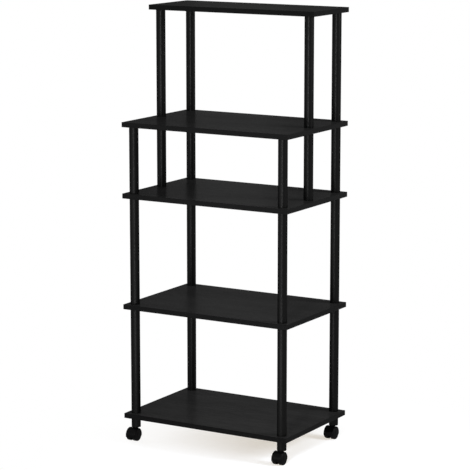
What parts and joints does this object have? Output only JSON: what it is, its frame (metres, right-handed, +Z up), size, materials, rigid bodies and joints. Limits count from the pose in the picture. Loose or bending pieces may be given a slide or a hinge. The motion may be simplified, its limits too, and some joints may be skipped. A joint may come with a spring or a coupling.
{
  "type": "kitchen storage cart",
  "caption": "Tall open storage cart: flat shelf boards on round tubes, with a shallow set-back top shelf, rolling on hooded swivel casters.",
  "frame": {"origin": "on the floor, under the middle of the deep shelf boards", "axes": "+X to the right across the shelves seen from the front, +Y from front to back, +Z up"},
  "size_m": [0.6, 0.407, 1.3995],
  "materials": {
    "board_laminate": "black laminate on particle board, satin with a faint grain",
    "edge_band": "black plastic edge strip, satin",
    "tube": "black rigid plastic tube, semi-gloss",
    "plug_plastic": "black moulded plastic",
    "caster_hood": "black moulded nylon, satin",
    "caster_wheel": "black moulded nylon, smooth",
    "plated_steel": "zinc plated steel",
    "spring_steel": "bright spring steel"
  },
  "bodies": {
    "frame": {"bottom_post_back_left": "tube", "bottom_post_back_right": "tube", "bottom_post_front_left": "tube", "bottom_post_front_right": "tube", "bottom_shelf": "board_laminate", "bottom_shelf_edge_bands": "edge_band", "caster_sockets": "plug_plastic", "leg_back_left": "tube", "leg_back_right": "tube", "leg_front_left": "tube", "leg_front_right": "tube", "long_stud_plugs": "plug_plastic", "lower_post_back_left": "tube", "lower_post_back_right": "tube", "lower_post_front_left": "tube", "lower_post_front_right": "tube", "lower_shelf": "board_laminate", "lower_shelf_edge_bands": "edge_band", "middle_post_back_left": "tube", "middle_post_back_right": "tube", "middle_post_centre_left": "tube", "middle_post_centre_right": "tube", "middle_post_front_left": "tube", "middle_post_front_right": "tube", "middle_shelf": "board_laminate", "middle_shelf_edge_bands": "edge_band", "nut_inserts": "plug_plastic", "retaining_rings": "spring_steel", "short_stud_plugs": "plug_plastic", "socket_plugs": "plug_plastic", "stud_inserts": "plug_plastic", "top_shelf": "board_laminate", "top_shelf_edge_bands": "edge_band", "upper_post_back_left": "tube", "upper_post_back_right": "tube", "upper_post_centre_left": "tube", "upper_post_centre_right": "tube", "upper_shelf": "board_laminate", "upper_shelf_edge_bands": "edge_band"},
    "front_left_caster": {"front_left_caster_hood": "caster_hood", "front_left_caster_stem": "plated_steel", "front_left_caster_axle": "plated_steel"},
    "front_left_left_wheel": {"front_left_caster_left_wheel": "caster_wheel"},
    "front_left_right_wheel": {"front_left_caster_right_wheel": "caster_wheel"},
    "front_right_caster": {"front_right_caster_hood": "caster_hood", "front_right_caster_stem": "plated_steel", "front_right_caster_axle": "plated_steel"},
    "front_right_left_wheel": {"front_right_caster_left_wheel": "caster_wheel"},
    "front_right_right_wheel": {"front_right_caster_right_wheel": "caster_wheel"},
    "back_left_caster": {"back_left_caster_hood": "caster_hood", "back_left_caster_stem": "plated_steel", "back_left_caster_axle": "plated_steel"},
    "back_left_left_wheel": {"back_left_caster_left_wheel": "caster_wheel"},
    "back_left_right_wheel": {"back_left_caster_right_wheel": "caster_wheel"},
    "back_right_caster": {"back_right_caster_hood": "caster_hood", "back_right_caster_stem": "plated_steel", "back_right_caster_axle": "plated_steel"},
    "back_right_left_wheel": {"back_right_caster_left_wheel": "caster_wheel"},
    "back_right_right_wheel": {"back_right_caster_right_wheel": "caster_wheel"}
  },
  "joints": [
    {"name": "front_left_swivel", "type": "hinge", "parent": "frame", "child": "front_left_caster", "pos_m": [-0.271, -0.172, 0.0429], "axis": [0, 0, 1], "continuous": true},
    {"name": "front_left_left_wheel_spin", "type": "hinge", "parent": "front_left_caster", "child": "front_left_left_wheel", "pos_m": [-0.271, -0.187, 0.02], "axis": [1, 0, 0], "continuous": true},
    {"name": "front_left_right_wheel_spin", "type": "hinge", "parent": "front_left_caster", "child": "front_left_right_wheel", "pos_m": [-0.271, -0.187, 0.02], "axis": [1, 0, 0], "continuous": true},
    {"name": "front_right_swivel", "type": "hinge", "parent": "frame", "child": "front_right_caster", "pos_m": [0.271, -0.172, 0.0429], "axis": [0, 0, 1], "continuous": true},
    {"name": "front_right_left_wheel_spin", "type": "hinge", "parent": "front_right_caster", "child": "front_right_left_wheel", "pos_m": [0.271, -0.187, 0.02], "axis": [1, 0, 0], "continuous": true},
    {"name": "front_right_right_wheel_spin", "type": "hinge", "parent": "front_right_caster", "child": "front_right_right_wheel", "pos_m": [0.271, -0.187, 0.02], "axis": [1, 0, 0], "continuous": true},
    {"name": "back_left_swivel", "type": "hinge", "parent": "frame", "child": "back_left_caster", "pos_m": [-0.271, 0.172, 0.0429], "axis": [0, 0, 1], "continuous": true},
    {"name": "back_left_left_wheel_spin", "type": "hinge", "parent": "back_left_caster", "child": "back_left_left_wheel", "pos_m": [-0.271, 0.157, 0.02], "axis": [1, 0, 0], "continuous": true},
    {"name": "back_left_right_wheel_spin", "type": "hinge", "parent": "back_left_caster", "child": "back_left_right_wheel", "pos_m": [-0.271, 0.157, 0.02], "axis": [1, 0, 0], "continuous": true},
    {"name": "back_right_swivel", "type": "hinge", "parent": "frame", "child": "back_right_caster", "pos_m": [0.271, 0.172, 0.0429], "axis": [0, 0, 1], "continuous": true},
    {"name": "back_right_left_wheel_spin", "type": "hinge", "parent": "back_right_caster", "child": "back_right_left_wheel", "pos_m": [0.271, 0.157, 0.02], "axis": [1, 0, 0], "continuous": true},
    {"name": "back_right_right_wheel_spin", "type": "hinge", "parent": "back_right_caster", "child": "back_right_right_wheel", "pos_m": [0.271, 0.157, 0.02], "axis": [1, 0, 0], "continuous": true}
  ]
}
